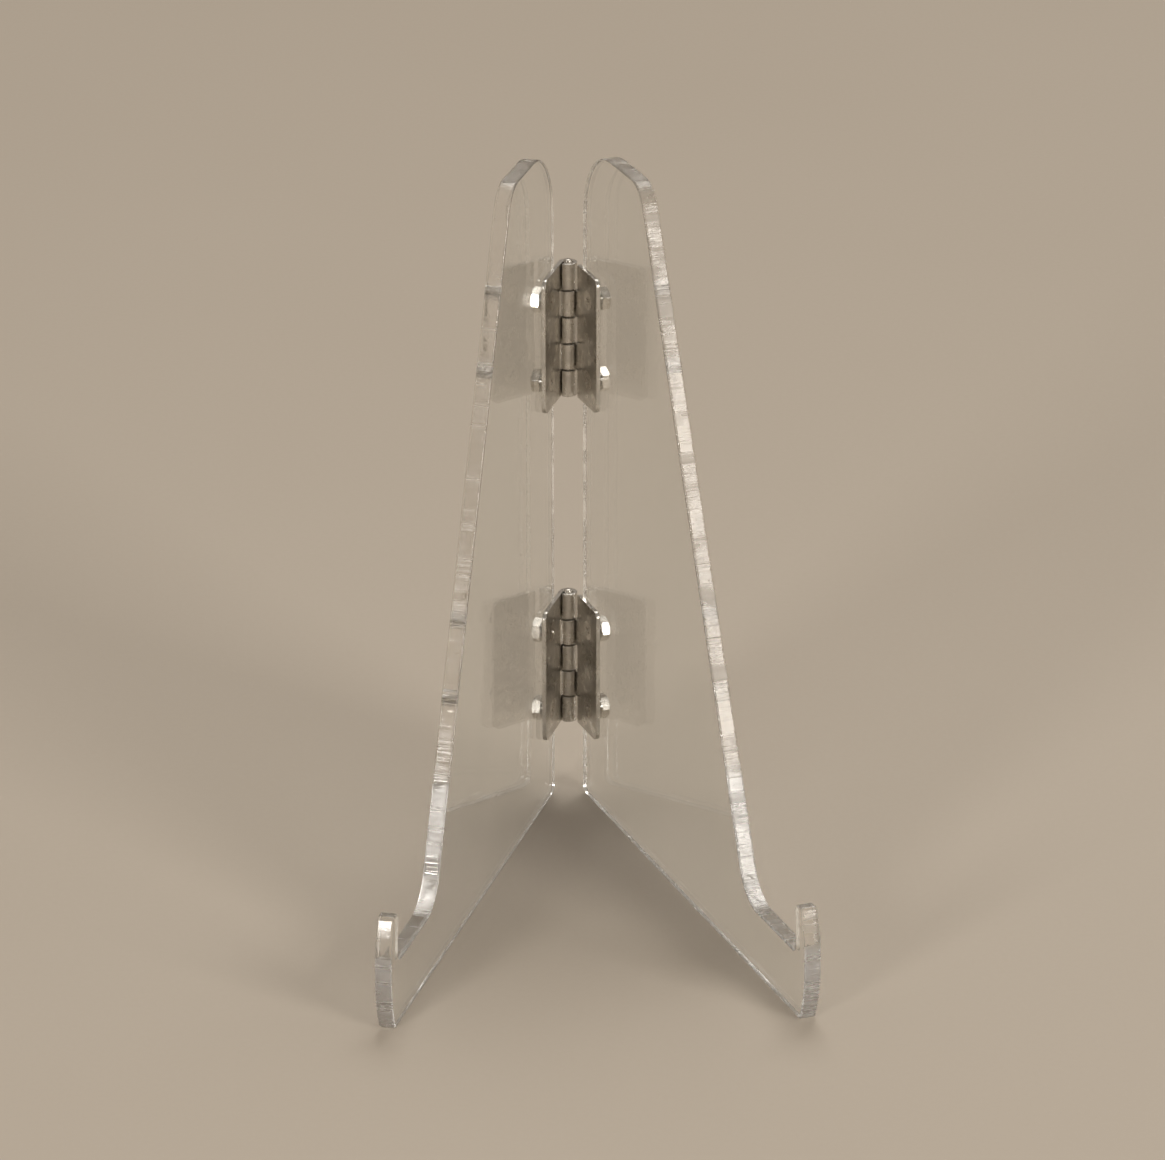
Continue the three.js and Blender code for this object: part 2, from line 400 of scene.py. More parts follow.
# %% Make the saw's marks
# Features in a metre: through the thickness, along the sheet, and up it.
FINE_SAW = (30, 1500, 1500)
COARSE_SAW = (30, 620, 620)
TOE_HEIGHT = 5.5
TOE_DEPTH = 4
TOE_FADE = 3
SAW_MIDDLE = 0.45


def unbuffed_toe(mix):
    """A share that is 1 low at the front of the foot, and fades to 0 above and behind it."""
    low = mix.below("Z", TOE_HEIGHT * MM, TOE_FADE * MM)
    forward = mix.below("Y", cad_box[0][1] + TOE_DEPTH * MM, TOE_FADE * MM)
    return mix.math("MULTIPLY", low, forward)


def saw_lines(mix, turn, toe):
    """Fine lines across the thickness, with twice the contrast on the toe."""
    saw = mix.noise(mix.stretched(FINE_SAW, turn), detail=2, roughness=0.6)
    extra = mix.math("MULTIPLY", toe, mix.math("SUBTRACT", saw, SAW_MIDDLE))
    return mix.math("ADD", saw, extra)


# %% [markdown]
# ## The buffed edges
# Where the buffing went further the edge shines, and where it didn't the edge is faintly frosted.
# So a slow pattern of patches decides how dull each place is, and the dull places also get a
# fine grit. The right sheet was buffed less than the left, because no two are ever the same.

# %% Mix the buffed edge finish
PATCHES = (90, 240, 240)
DULL_TOE = 0.8
EDGE_TINTS = (0.990, 0.986, 0.974), (0.958, 0.948, 0.930)
MARKS_LEFT = {"left": 1.0, "right": 1.5}


def buffed_edge(name, turn, marks_left):
    """Marks left is 1 for an even job, and more where the saw's marks were buffed out less."""
    mix = Recipe(name)
    toe = unbuffed_toe(mix)
    saw = saw_lines(mix, turn, toe)
    coarse_saw = mix.noise(mix.stretched(COARSE_SAW, turn), detail=2)
    patches = mix.noise(mix.stretched(PATCHES, turn), detail=3, roughness=0.55)
    dull_patch = mix.spread(patches, 0.42, 0.60)
    dull_share = mix.math("MAXIMUM", dull_patch, mix.math("MULTIPLY", toe, DULL_TOE))
    grit = mix.math("MULTIPLY", mix.noise(scale=2600, detail=3), dull_share)
    frosted = mix.spread(dull_share, 0.0, 1.0, 0.015, 0.20 * marks_left)
    lined = mix.spread(saw, 0.48, 0.70, 0.0, 0.12 * marks_left)
    ground = mix.bump(coarse_saw, 0.24 * marks_left, 0.08 * MM)
    lines = mix.bump(saw, 0.50 * marks_left, 0.08 * MM, ground)
    marks = mix.bump(grit, 0.50 * marks_left, 0.06 * MM, lines)
    tint = mix.blend(dull_share, *EDGE_TINTS)
    roughness = mix.math("ADD", frosted, lined)
    return mix.finish(tint, roughness, marks, Transmission_Weight=1.0, IOR=ACRYLIC_INDEX)


edge_finish = {
    name: buffed_edge(f"buffed_edge_{name}", side * half_angle, MARKS_LEFT[name])
    for name, side in SIDES.items()
}

# %% [markdown]
# ## The nickelled hinges
# The hinges are stamped from steel strip and nickel plated. Nickel is a warm, slightly yellow
# grey. The strip's rolling marks show through the plating as fine lines, and handling leaves the
# shine uneven, with a few darker specks. The lines run up the leaf, so the noise is stretched
# along Z. Screws, nuts and pins are turned, not rolled, so theirs is a brighter, smoother mix.

# %% Mix the nickel finish
ROLLING = (5200, 5200, 260)
SPECK_COLOUR = (0.22, 0.19, 0.16)
SPECK_SHARE = 0.55
WEAR = 0.14


def nickel(name, bright, dark, line_strength, dullness):
    """Dullness is the roughness of the places that have kept their shine best."""
    mix = Recipe(name)
    rolling = mix.noise(mix.stretched(ROLLING), detail=4, roughness=0.6)
    patches = mix.noise(scale=420, detail=5, roughness=0.65)
    specks = mix.spread(mix.noise(scale=2300, detail=2), 0.68, 0.76)
    colour = mix.blend(mix.spread(patches, 0.3, 0.7), bright, dark)
    colour = mix.blend(mix.math("MULTIPLY", specks, SPECK_SHARE), colour, SPECK_COLOUR)
    worn = mix.spread(patches, 0.35, 0.7, dullness, dullness + WEAR)
    roughness = mix.math("ADD", worn, mix.spread(rolling, 0.3, 0.75, 0.0, 0.10))
    grain = mix.bump(rolling, line_strength, 0.02 * MM)
    normal = mix.bump(patches, 0.10, 0.03 * MM, grain)
    return mix.finish(colour, roughness, normal, Metallic=1.0)


hinge_finish = nickel(
    "nickelled_strip",
    bright=(0.72, 0.695, 0.65),
    dark=(0.56, 0.54, 0.505),
    line_strength=0.25,
    dullness=0.20,
)
fastener_finish = nickel(
    "bright_nickel",
    bright=(0.80, 0.77, 0.72),
    dark=(0.66, 0.63, 0.58),
    line_strength=0.08,
    dullness=0.14,
)

# %% [markdown]
# ## The side sheets
# Each side is one piece of 3 mm sheet. From the front it goes: a rounded toe, a gentle belly, a
# crease, a lip that leans back, the ledge that holds the plate's rim, and the long back rest that
# the plate leans on. All sizes here are in mm, and setbacks are measured from the very front. The
# outline is a ring of ten points, moved one by one to those ten corners.

# %% Set out the corners
FRONT_TO_BACK = 106.5
TOE_SETBACK = 2.3
BELLY_HEIGHT = 6
CREASE_HEIGHT = 15.7
CREASE_SETBACK = 0.35
LIP_HEIGHT = 20.9
LIP_SETBACK = 2.3
LIP_THICKNESS = 2.9
LEDGE_HEIGHT = 12
LEDGE_FRONT = 4.4
LEDGE_DEPTH = 23
REST_LEAN = math.radians(24)

front = sheet_high.y - FRONT_TO_BACK
height = sheet_high.z
rest_foot = LEDGE_FRONT + LEDGE_DEPTH
rest_head = rest_foot + (height - LEDGE_HEIGHT) * math.tan(REST_LEAN)
CORNERS = [
    # distance back from the front, height, radius of the rounding, steps in it
    (TOE_SETBACK, 0, 1, 6),
    (FRONT_TO_BACK, 0, 2, 6),
    (FRONT_TO_BACK, height, 14, 16),
    (rest_head, height, 6, 10),
    (rest_foot, LEDGE_HEIGHT, 8, 10),
    (LEDGE_FRONT, LEDGE_HEIGHT, 1.2, 6),
    (LIP_SETBACK + LIP_THICKNESS, LIP_HEIGHT, 1.1, 7),
    (LIP_SETBACK, LIP_HEIGHT, 1, 6),
    (CREASE_SETBACK, CREASE_HEIGHT, 0, 0),
    (0, BELLY_HEIGHT, 20, 10),
]
print("Back rest runs from", round(rest_foot, 1), "to", round(rest_head, 1), "mm behind the front")

# %% [markdown]
# The ring starts as a circle with as many points as there are corners, because a circle already
# has a face in it and its points in order. Where the ring starts doesn't matter, as every point
# is picked by its place and moved to its corner.

# %% Draw the outline
START_RADIUS = 10


def draw_outline(name):
    """A flat face through the ten corners, at the sheet's inner face, still sharp."""
    bpy.ops.mesh.primitive_circle_add(
        vertices=len(CORNERS), radius=START_RADIUS * MM, fill_type="NGON"
    )
    outline = bpy.context.object
    outline.name = name
    starts = [v.co / MM for v in outline.data.vertices]
    for start, (back, up, _, _) in zip(starts, CORNERS):
        pick(outline, "VERT", lambda p, start=start: (p[0] - start).length < SAME)
        goal = Vector((sheet_low.x, front + back, up))
        move(*(goal - start))
    done()
    return outline


sheet = draw_outline("side_sheet")
print("Outline has", len(sheet.data.vertices), "corners")

# %% [markdown]
# ## Rounding the corners
# Nearly every corner of the real sheet is rounded, and only the crease below the lip is sharp.
# The arcs could be drawn point by point. A vertex bevel is quicker: it replaces one corner with
# an arc, and only needs to know how far along the edges the arc begins, which follows from its
# radius and from the angle between the two edges.

# %% Round the corners
def round_corners(outline):
    """Replaces each sharp corner with an arc that touches both of its edges."""
    points = [Vector((back, up)) for back, up, _, _ in CORNERS]
    for i, (back, up, radius, steps) in enumerate(CORNERS):
        if radius == 0:
            continue
        before = points[i - 1] - points[i]
        after = points[(i + 1) % len(points)] - points[i]
        reach = radius / math.tan(before.angle(after) / 2)
        corner = Vector((sheet_low.x, front + back, up))
        pick(outline, "VERT", lambda p, corner=corner: (p[0] - corner).length < SAME)
        bpy.ops.mesh.bevel(
            offset_type="ABSOLUTE",
            offset=reach * MM,
            segments=steps,
            profile=0.5,
            affect="VERTICES",
        )
        done()


round_corners(sheet)
print("Rounded outline has", len(sheet.data.vertices), "points")

# %% [markdown]
# ## Thickness and eased edges
# Extruding the flat face gives the sheet its 3 mm. Nobody leaves a sawn edge sharp, so every edge
# of the outline is bevelled by about a third of a millimetre. The edges to bevel are the ones
# that lie in a face of the sheet, so both of their ends have the same X.

# %% Give the sheet its thickness
ARRIS = 0.38

pick(sheet, "FACE", lambda p: True)
pull(x=sheet_high.x - sheet_low.x)
done()
face_out(sheet)
pick(sheet, "EDGE", lambda p: near(p[0].x, p[1].x))
bpy.ops.mesh.bevel(
    offset=ARRIS * MM, segments=4, profile=0.5, affect="EDGES", clamp_overlap=False
)
done()
print("Eased sheet has", len(sheet.data.polygons), "faces")

# %% [markdown]
# ## The screw holes
# Four screws go through each sheet. Their holes are drilled last, with a Boolean modifier: it
# leaves a true round hole, which edit mode alone can't cut through one big face. The drill is a
# cylinder that is longer than the sheet is thick, so that it comes out on both sides.

# %% Drill the screw holes
HOLE_RADIUS = 1.2
HOLE_SIDES = 40
DRILL_LENGTH = 8
HINGES = {name: own_box(f"{name}_hinge_right_leaf")[0].z for name in ("lower", "upper")}


def cut(piece, cutter, operation="DIFFERENCE"):
    """Cuts a solid with another, then throws the cutter away."""
    change = piece.modifiers.new("cut", "BOOLEAN")
    change.operation = operation
    change.object = cutter
    change.solver = "EXACT"
    work_on(piece)
    bpy.ops.object.modifier_apply(modifier=change.name)
    bpy.data.objects.remove(cutter)


screw_line = (screw_low.y + screw_high.y) / 2
screw_heights = [
    sum(corner.z for corner in own_box(f"{hinge}_hinge_right_{end}_screw")) / 2
    for hinge in HINGES
    for end in ("bottom", "top")
]
for z in screw_heights:
    bpy.ops.mesh.primitive_cylinder_add(
        vertices=HOLE_SIDES,
        radius=HOLE_RADIUS * MM,
        depth=DRILL_LENGTH * MM,
        location=(sheet_low.x * MM, screw_line * MM, z * MM),
        rotation=(0, math.pi / 2, 0),
    )
    cut(sheet, bpy.context.object)
print("Holes at heights", [round(z, 2) for z in screw_heights])

# %% [markdown]
# ## Standing a piece in its place
# A piece that was drawn flat has to be stood in its half of the V. It is mirrored for the left,
# turned, and moved to the pin. Each of these is put into its mesh, so that the piece's object
# stays at the origin. Mirroring turns a mesh inside out, so its faces are turned out again.
# Then its curves are shaded smooth, and its flats are kept flat by the Weighted Normal modifier.

# %% Helpers for placing
SMOOTH_UNDER = math.radians(35)


def settle(piece):
    """Puts a piece's place, turn and scale into its mesh."""
    work_on(piece)
    bpy.ops.object.transform_apply(location=True, rotation=True, scale=True)


def smooth(piece):
    """Smooths the curves, and lets large faces lead the shading."""
    work_on(piece)
    bpy.ops.object.shade_smooth_by_angle(angle=SMOOTH_UNDER)
    even = piece.modifiers.new("even", "WEIGHTED_NORMAL")
    even.keep_sharp = True
    bpy.ops.object.modifier_apply(modifier=even.name)


def join_side(piece, side):
    """Stands a piece that was drawn flat into its half of the V: 1 is the right, -1 the left."""
    piece.scale.x = side
    settle(piece)
    piece.rotation_euler.z = side * half_angle
    piece.location = pin_place
    settle(piece)
    face_out(piece)
    smooth(piece)


# %% [markdown]
# ## Painting and handing over
# Each finished piece stands for one CAD piece and moves with one half of the stand, and the frame
# is told both. The two sheets are copies of one, and each copy has a mesh of its own. Faces that
# look straight out along X are the polished faces. All the rest was sawn or drilled, and is
# painted with the buffed edge finish.

# %% Paint the faces and the edges
STRAIGHT_OUT = 0.999


def copy_of(piece, name):
    """A copy with a mesh of its own."""
    work_on(piece)
    bpy.ops.object.duplicate(linked=False)
    twin = bpy.context.object
    twin.name = name
    twin.data.name = name
    return twin


def hand_over(piece, node, body):
    """Tells the frame which CAD piece this one stands for and what it moves with."""
    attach(piece, body)
    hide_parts(node)
    print(piece.name, "stands for", node, "with", len(piece.data.polygons), "faces")


paint = [0 if abs(face.normal.x) > STRAIGHT_OUT else 1 for face in sheet.data.polygons]
for name, side in SIDES.items():
    panel = copy_of(sheet, f"{name}_panel_finished")
    panel.data.materials.clear()
    panel.data.materials.append(face_finish[name])
    panel.data.materials.append(edge_finish[name])
    panel.data.polygons.foreach_set("material_index", paint)
    join_side(panel, side)
    hand_over(panel, f"{name}_panel", f"{name}_side")
bpy.data.objects.remove(sheet)

# %% [markdown]
# ## The hinge leaves
# A butt hinge leaf is a flat strip with tongues cut along one edge, and the tongues are rolled
# round the pin to make knuckles. The left leaf has three knuckles and the right one two, which
# fit between them. The leaf is drawn as it is made: a flat plate is divided where the tongues
# begin and end, and the tongues are extruded to the pin.

# %% Make a flat leaf with its tongues
KNUCKLES = 5
KNUCKLE_GAP = 0.3
TONGUE_START = sheet_high.y
LEAF_FACE = screw_low.x
leaf_length = leaf_high.z - leaf_low.z


def tongue_spans(side):
    """Where this leaf's tongues begin and end, in mm up the hinge."""
    pitch = leaf_length / KNUCKLES
    mine = [k for k in range(KNUCKLES) if (k % 2 == 0) == (side < 0)]
    bottoms = {k: k * pitch + (KNUCKLE_GAP / 2 if k > 0 else 0) for k in mine}
    tops = {k: (k + 1) * pitch - (KNUCKLE_GAP / 2 if k < KNUCKLES - 1 else 0) for k in mine}
    return [(bottoms[k], tops[k]) for k in mine]


def in_a_span(points, spans):
    middle_height = sum(q.z for q in points) / len(points)
    return any(low < middle_height < high for low, high in spans)


def flat_leaf(name, spans):
    """A plate on the pin's side of the sheet, with a tongue reaching the pin at each span."""
    bpy.ops.mesh.primitive_plane_add(size=1 * MM, rotation=(0, math.pi / 2, 0))
    leaf = bpy.context.object
    leaf.name = name
    leaf.scale = (leaf_length, TONGUE_START - leaf_low.y, 1)
    leaf.location = (LEAF_FACE * MM, (TONGUE_START + leaf_low.y) / 2 * MM, leaf_length / 2 * MM)
    settle(leaf)
    for z in sorted({z for span in spans for z in span if 0 < z < leaf_length}):
        pick(leaf, "FACE", lambda p: True)
        bpy.ops.mesh.bisect(plane_co=(0, 0, z * MM), plane_no=(0, 0, 1))
        done()
    pick(leaf, "EDGE", lambda p: all(near(q.y, TONGUE_START) for q in p) and in_a_span(p, spans))
    pull(y=-TONGUE_START)
    done()
    return leaf


for side_name, side in SIDES.items():
    spans = [[round(z, 2) for z in span] for span in tongue_spans(side)]
    print("Tongues of the", side_name, "leaf, in mm:", spans)

# %% [markdown]
# ## Rolling the knuckles
# The plate is given its thickness, and Spin rolls each tongue round the pin until its end nearly
# meets the leaf again. Spin turns clockwise about its axis, so the axis points down to roll the
# tongues away from the plate. The two free corners are rounded, and a fine Bevel modifier takes
# the sharpness off every edge, as tumbling does to stamped parts.

# %% Thicken the leaf and roll its knuckles
BARREL_RADIUS = leaf_high.x
STRIP = BARREL_RADIUS - LEAF_FACE
ROLL = math.radians(296)
ROLL_STEPS = 30
LEAF_CORNER = 1.5
LEAF_EDGE = 0.12


def ease(piece, width):
    """Takes the sharpness off a piece's edges with the Bevel modifier."""
    change = piece.modifiers.new("ease", "BEVEL")
    change.width = width * MM
    change.segments = 3
    change.limit_method = "ANGLE"
    change.angle_limit = math.radians(40)
    change.use_clamp_overlap = True
    work_on(piece)
    bpy.ops.object.modifier_apply(modifier=change.name)


def rolled_leaf(name, side):
    """A finished leaf, drawn flat for its own side, with its bottom at zero height."""
    leaf = flat_leaf(name, tongue_spans(side))
    pick(leaf, "FACE", lambda p: True)
    pull(x=STRIP)
    done()
    face_out(leaf)
    pick(leaf, "FACE", lambda p: all(near(q.y, 0) for q in p))
    bpy.ops.mesh.spin(steps=ROLL_STEPS, angle=ROLL, center=(0, 0, 0), axis=(0, 0, -1))
    done()
    face_out(leaf)
    pick(leaf, "EDGE", lambda p: all(near(q.y, leaf_low.y) for q in p) and near(p[0].z, p[1].z))
    bpy.ops.mesh.bevel(
        offset=LEAF_CORNER * MM, segments=8, profile=0.5, affect="EDGES", clamp_overlap=False
    )
    done()
    ease(leaf, LEAF_EDGE)
    lowest = [min(v.co[i] for v in leaf.data.vertices) / MM for i in range(3)]
    print(name, "reaches from", [round(n, 2) for n in lowest])
    return leaf


# %% [markdown]
# ## Countersinking
# The screw heads lie flush, so each hole is a cone: wide at the face that the head shows on and
# narrow against the sheet. A cone primitive at 45 degrees is the drill, and it passes a little
# beyond both faces, because a Boolean with faces that only touch is unreliable.

# %% Countersink the leaves and stand them in place
SCREW_INSET = screw_heights[0] - HINGES["lower"]
HEAD_RADIUS = (screw_high.y - screw_low.y) / 2
HEAD_GAP = 0.1
OVERSHOOT = 0.2


def countersink(leaf, z):
    mouth = HEAD_RADIUS + HEAD_GAP + OVERSHOOT
    depth = STRIP + 2 * OVERSHOOT
    bpy.ops.mesh.primitive_cone_add(
        vertices=HOLE_SIDES,
        radius1=mouth * MM,
        radius2=(mouth - depth) * MM,
        depth=depth * MM,
        location=((LEAF_FACE + STRIP / 2) * MM, screw_line * MM, z * MM),
        rotation=(0, math.pi / 2, 0),
    )
    cut(leaf, bpy.context.object)


for side_name, side in SIDES.items():
    leaf = rolled_leaf(f"{side_name}_leaf", side)
    countersink(leaf, SCREW_INSET)
    countersink(leaf, leaf_length - SCREW_INSET)
    leaf.data.materials.clear()
    leaf.data.materials.append(hinge_finish)
    for hinge, bottom in HINGES.items():
        placed = copy_of(leaf, f"{hinge}_hinge_{side_name}_leaf_rolled")
        placed.location.z = bottom * MM
        settle(placed)
        join_side(placed, side)
        hand_over(placed, f"{hinge}_hinge_{side_name}_leaf", f"{side_name}_side")
    bpy.data.objects.remove(leaf)

# %% [markdown]
# ## The hinge pins
# A pin is a straight rod with domed ends, a little longer than the hinge. It starts as a
# cylinder, and the ring of edges at each end is bevelled in several steps until it reads as a
# dome.

# %% Make the pins
PIN_RADIUS = own_box("lower_hinge_pin")[1].x
PIN_DOME = 0.42

for hinge in HINGES:
    low, high = own_box(f"{hinge}_hinge_pin")
    bpy.ops.mesh.primitive_cylinder_add(
        vertices=32,
        radius=PIN_RADIUS * MM,
        depth=(high.z - low.z) * MM,
        location=(0, 0, (low.z + high.z) / 2 * MM),
    )
    rod = bpy.context.object
    rod.name = f"{hinge}_hinge_pin_domed"
    settle(rod)
    pick(rod, "EDGE", lambda p: near(p[0].z, p[1].z))
    bpy.ops.mesh.bevel(offset=PIN_DOME * MM, segments=6, profile=0.5, affect="EDGES")
    done()
    rod.data.materials.append(fastener_finish)
    rod.location = pin_place
    settle(rod)
    face_out(rod)
    smooth(rod)
    hand_over(rod, f"{hinge}_hinge_pin", "left_side")

# %% [markdown]
# ## The screws
# These are small countersunk machine screws. One is modelled upright, with its head's face at
# zero height, and the rest are copies. A disc the size of the head is extruded down to the neck,
# and then again and again, in and out by a little, to make the ridges of the thread. At this
# size rings can't be told from a true helix.

# %% Turn one screw
SCREW_LENGTH = screw_high.x - screw_low.x
SCREW_RADIUS = 1.0
ROOT_RADIUS = 0.78
THREAD_PITCH = 0.4
HEAD_RIM = 0.12
TIP_LENGTH = 0.2
HAIR = 0.001
RIDGE = [
    # share of the pitch, radius at its top, radius at its bottom
    (0.42, SCREW_RADIUS, ROOT_RADIUS),
    (0.12, ROOT_RADIUS, ROOT_RADIUS),
    (0.36, ROOT_RADIUS, SCREW_RADIUS),
    (0.10, SCREW_RADIUS, SCREW_RADIUS),
]


def step_down(depth, from_radius, to_radius):
    """Extrudes the end of the screw down, and scales it to a new radius."""
    pull(z=-depth)
    ratio = to_radius / from_radius
    bpy.ops.transform.resize(value=(ratio, ratio, 1))


bpy.ops.mesh.primitive_circle_add(vertices=32, radius=HEAD_RADIUS * MM, fill_type="NGON")
screw = bpy.context.object
screw.name = "turned_screw"
pick(screw, "FACE", lambda p: True)
step_down(HEAD_RIM, HEAD_RADIUS, HEAD_RADIUS)
step_down(HEAD_RADIUS - SCREW_RADIUS - HEAD_RIM, HEAD_RADIUS, SCREW_RADIUS)
shank = SCREW_LENGTH - (HEAD_RADIUS - SCREW_RADIUS) - TIP_LENGTH
threads = int(shank / THREAD_PITCH)
step_down(shank - threads * THREAD_PITCH + HAIR, SCREW_RADIUS, SCREW_RADIUS)
for _ in range(threads):
    for share, top_radius, bottom_radius in RIDGE:
        step_down(THREAD_PITCH * share, top_radius, bottom_radius)
step_down(TIP_LENGTH - HAIR, SCREW_RADIUS, ROOT_RADIUS)
done()
face_out(screw)
length_made = round(-min(v.co.z for v in screw.data.vertices) / MM, 2)
print("Screw is", length_made, "mm long with", threads, "ridges")

# %% [markdown]
# ## The cross recess
# A screwdriver needs somewhere to go. The recess is a plain cross that narrows as it goes down,
# cut into the head by two blades. A blade is a block whose bottom face is scaled down. The screw
# is then laid on its side, with its head facing the middle of the V.

# %% Cut the cross recess
RECESS_LENGTH = 2.0
RECESS_WIDTH = 0.42
RECESS_DEPTH = 0.48
RECESS_TAPER = 0.55

for turn in (0, math.pi / 2):
    bpy.ops.mesh.primitive_cube_add(size=1 * MM, rotation=(0, 0, turn))
    blade = bpy.context.object
    blade.scale = (RECESS_LENGTH, RECESS_WIDTH, 2 * RECESS_DEPTH)
    settle(blade)
    pick(blade, "FACE", lambda p: all(near(q.z, -RECESS_DEPTH) for q in p))
    bpy.ops.transform.resize(value=(RECESS_TAPER, RECESS_TAPER, 1))
    done()
    cut(screw, blade)
screw.rotation_euler.y = -math.pi / 2
settle(screw)
screw.data.materials.append(fastener_finish)
print("Screw has", len(screw.data.polygons), "faces")

# %% [markdown]
# ## The nuts
# A nut is a hexagon whose corners are turned off at both ends, which leaves the curved line that
# every nut has on its flats. The same thing is done here: a six-sided cylinder is intersected
# with a round one that tapers at its ends, and a round bore is cut through the middle.

# %% Make one nut
nut_low, nut_high = own_box("lower_hinge_right_bottom_nut")
NUT_HEIGHT = nut_high.x - nut_low.x
NUT_CORNER = max(nut_high.y - nut_low.y, nut_high.z - nut_low.z) / 2
NUT_BORE = 1.15
BLANK_RADIUS = NUT_CORNER + 0.02
TURNED_RISE = 0.22
TURNED_IN = 0.38

bpy.ops.mesh.primitive_cylinder_add(vertices=6, radius=NUT_CORNER * MM, depth=NUT_HEIGHT * MM)
nut = bpy.context.object
nut.name = "turned_nut"
bpy.ops.mesh.primitive_cylinder_add(
    vertices=64, radius=BLANK_RADIUS * MM, depth=(NUT_HEIGHT - 2 * TURNED_RISE) * MM
)
blank = bpy.context.object
for end in (-1, 1):
    flat = end * (NUT_HEIGHT / 2 - TURNED_RISE)
    pick(blank, "FACE", lambda p, flat=flat: all(near(q.z, flat) for q in p))
    pull(z=end * (TURNED_RISE + HAIR))
    ratio = (BLANK_RADIUS - TURNED_IN) / BLANK_RADIUS
    bpy.ops.transform.resize(value=(ratio, ratio, 1))
    done()
face_out(blank)
cut(nut, blank, "INTERSECT")
bpy.ops.mesh.primitive_cylinder_add(
    vertices=HOLE_SIDES, radius=NUT_BORE * MM, depth=3 * NUT_HEIGHT * MM
)
cut(nut, bpy.context.object)
nut.rotation_euler.y = -math.pi / 2
settle(nut)
nut.data.materials.append(fastener_finish)
print("Nut has", len(nut.data.polygons), "faces, height", round(NUT_HEIGHT, 2), "mm")

# %% [markdown]
# ## Placing the screws and nuts
# Each hinge leaf takes two screws from the inside of the V, and each screw has a nut on the
# outside. Real screws never stop at the same angle, so every copy is turned by its own amount
# before it is placed.

# %% Copy the screws and nuts into place
SCREW_TURNS = iter((12, -31, 44, 7, -18, 29, -40, 21))
NUT_TURNS = iter((5, 22, -14, 17, -3, 11, 26, -20))


def place_fastener(made, node, finished_name, place, turn, side_name):
    """Stands a turned copy of a screw or a nut at its place in one half of the V."""
    placed = copy_of(made, finished_name)
    placed.rotation_euler.x = math.radians(turn)
    placed.location = place * MM
    settle(placed)
    join_side(placed, SIDES[side_name])
    hand_over(placed, node, f"{side_name}_side")


for side_name, side in SIDES.items():
    for hinge in HINGES:
        for end in ("bottom", "top"):
            node = f"{hinge}_hinge_{side_name}_{end}_screw"
            low, high = own_box(node, side)
            head = Vector((low.x, (low.y + high.y) / 2, (low.z + high.z) / 2))
            place_fastener(screw, node, f"{node}_turned", head, next(SCREW_TURNS), side_name)
            node = f"{hinge}_hinge_{side_name}_{end}_nut"
            low, high = own_box(node, side)
            centre = (low + high) / 2
            place_fastener(nut, node, f"{node}_turned", centre, next(NUT_TURNS), side_name)
bpy.data.objects.remove(screw)
bpy.data.objects.remove(nut)

# %% [markdown]
# ## The floor
# A clear object shows mostly what is around it, so the floor matters more than usual. It is a
# wide, warm, pale surface with hardly any pattern, and a little sheen, so that the feet sit on it
# softly. It lies a hair's breadth below the feet, because two surfaces in exactly the same place
# would turn the sheets' edges black.

# %% Lay the floor
FLOOR_GAP = 0.1
FLOOR_WIDTH = 14
FLOOR_TINTS = (0.60, 0.535, 0.455), (0.575, 0.51, 0.43)

floor_mix = Recipe("pale_tabletop")
drift = floor_mix.noise(scale=3, detail=3)
tooth = floor_mix.noise(scale=900, detail=3)
floor_colour = floor_mix.blend(floor_mix.spread(drift, 0.3, 0.7), *FLOOR_TINTS)
floor_rough = floor_mix.spread(tooth, 0.3, 0.7, 0.55, 0.68)
floor_bump = floor_mix.bump(tooth, 0.05, 0.05 * MM)
floor_mix.finish(floor_colour, floor_rough, floor_bump)

bpy.ops.mesh.primitive_plane_add(size=FLOOR_WIDTH, location=(0, 0, -FLOOR_GAP * MM))
floor = bpy.context.object
floor.name = "floor"
floor.data.materials.append(floor_mix.material)
floor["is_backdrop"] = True

# %% [markdown]
# ## The lamps
# Clear plastic is lit by what it reflects. Two soft lamps stand in front, left and right, so that
# the front edges pick up highlights: the left one is small and low, for a crisp one on the lip. A
# third, high and behind, sends light down through the sheets and makes their sawn edges glow.
# Light that enters an edge bounces many times between a sheet's faces before it comes out again,
# so the limit on bounces is raised, or the edges would turn dark.

# %% Set up the lamps
LAMPS = [
    # name, turn, rise, distance, width, watts, colour
    ("front_left_softbox", -34, 11.5, 1.4, 0.27, 7, (1.0, 0.96, 0.91)),
    ("front_right_softbox", 40, 22, 1.5, 0.52, 8.5, (1.0, 0.95, 0.89)),
    ("high_back_softbox", 165, 60, 1.6, 0.80, 7.2, (1.0, 0.97, 0.92)),
]
SHEET_BOUNCES = 40

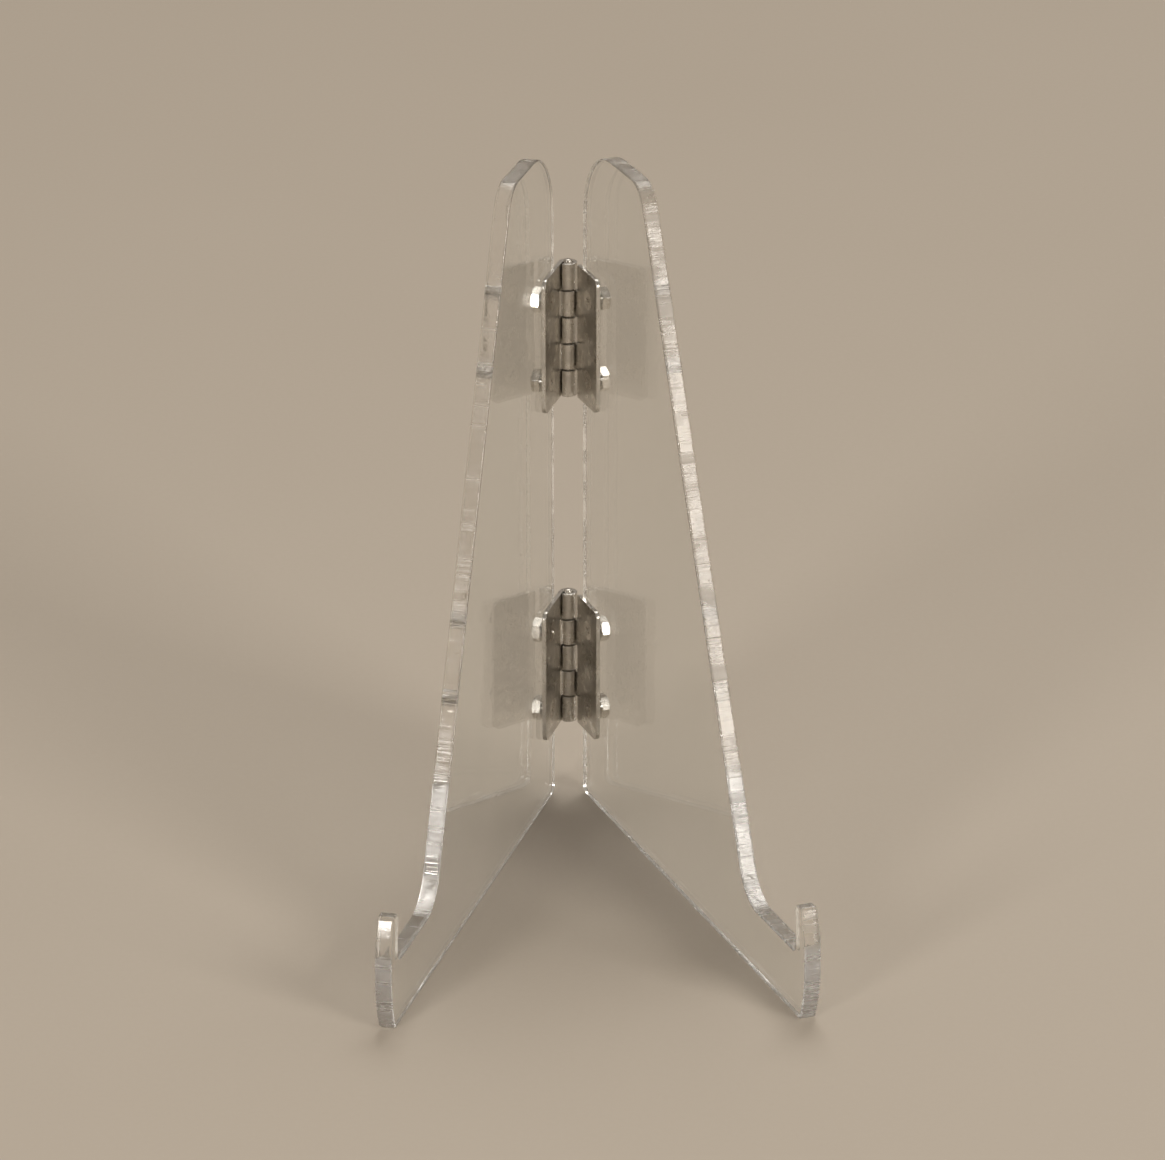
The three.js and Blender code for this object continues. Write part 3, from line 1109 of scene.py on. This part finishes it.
for name, turn, rise, distance, width, watts, colour in LAMPS:
    bpy.ops.object.light_add(type="AREA", location=around(turn, rise, distance, middle))
    lamp = bpy.context.object
    lamp.name = name
    lamp.data.shape = "SQUARE"
    lamp.data.size = width
    lamp.data.energy = watts
    lamp.data.color = colour
    aim(lamp, middle)
bpy.context.scene.cycles.max_bounces = SHEET_BOUNCES
bpy.context.scene.cycles.transmission_bounces = SHEET_BOUNCES
bpy.context.scene.cycles.glossy_bounces = SHEET_BOUNCES
print("Lamps:", len(LAMPS))

# %% [markdown]
# ## The air of the room
# The world gives the rest of the light: dim near the horizon and brighter overhead, as in a room,
# because a clear edge with the same brightness all round it would have no depth. One colour would
# be simpler but duller, and a real room's surroundings would show its windows in every edge. The
# Standard view leaves the colours as they were mixed.

# %% Set up the world
LOW_AIR = (0.200, 0.162, 0.130, 1)
HIGH_AIR = (0.355, 0.320, 0.278, 1)
BRIGHTENS_FROM, BRIGHTENS_TO = 0.05, 0.75

world = bpy.data.worlds.new("studio_air")
bpy.context.scene.world = world
world.use_nodes = True
air = world.node_tree
direction = air.nodes.new("ShaderNodeTexCoord")
split = air.nodes.new("ShaderNodeSeparateXYZ")
climb = air.nodes.new("ShaderNodeMapRange")
climb.interpolation_type = "SMOOTHSTEP"
climb.inputs["From Min"].default_value = BRIGHTENS_FROM
climb.inputs["From Max"].default_value = BRIGHTENS_TO
sky = air.nodes.new("ShaderNodeMix")
sky.data_type = "RGBA"
sky.inputs[6].default_value = LOW_AIR
sky.inputs[7].default_value = HIGH_AIR
air.links.new(direction.outputs["Generated"], split.inputs[0])
air.links.new(split.outputs["Z"], climb.inputs["Value"])
air.links.new(climb.outputs["Result"], sky.inputs["Factor"])
air.links.new(sky.outputs[2], air.nodes["Background"].inputs["Color"])
bpy.context.scene.view_settings.view_transform = "Standard"
print("World:", world.name, "with", len(air.nodes), "nodes")

# %% [markdown]
# ## How far the model has grown
# The finished model's box is measured, and how far each of its corners has moved from the CAD
# model's box is printed, in mm.

# %% Measure how far the model has grown
final_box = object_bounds()
growth = [b - a for one, two in zip(cad_box, final_box) for a, b in zip(one, two)]
print("Grown by, in mm:", [round(n / MM, 3) for n in growth])
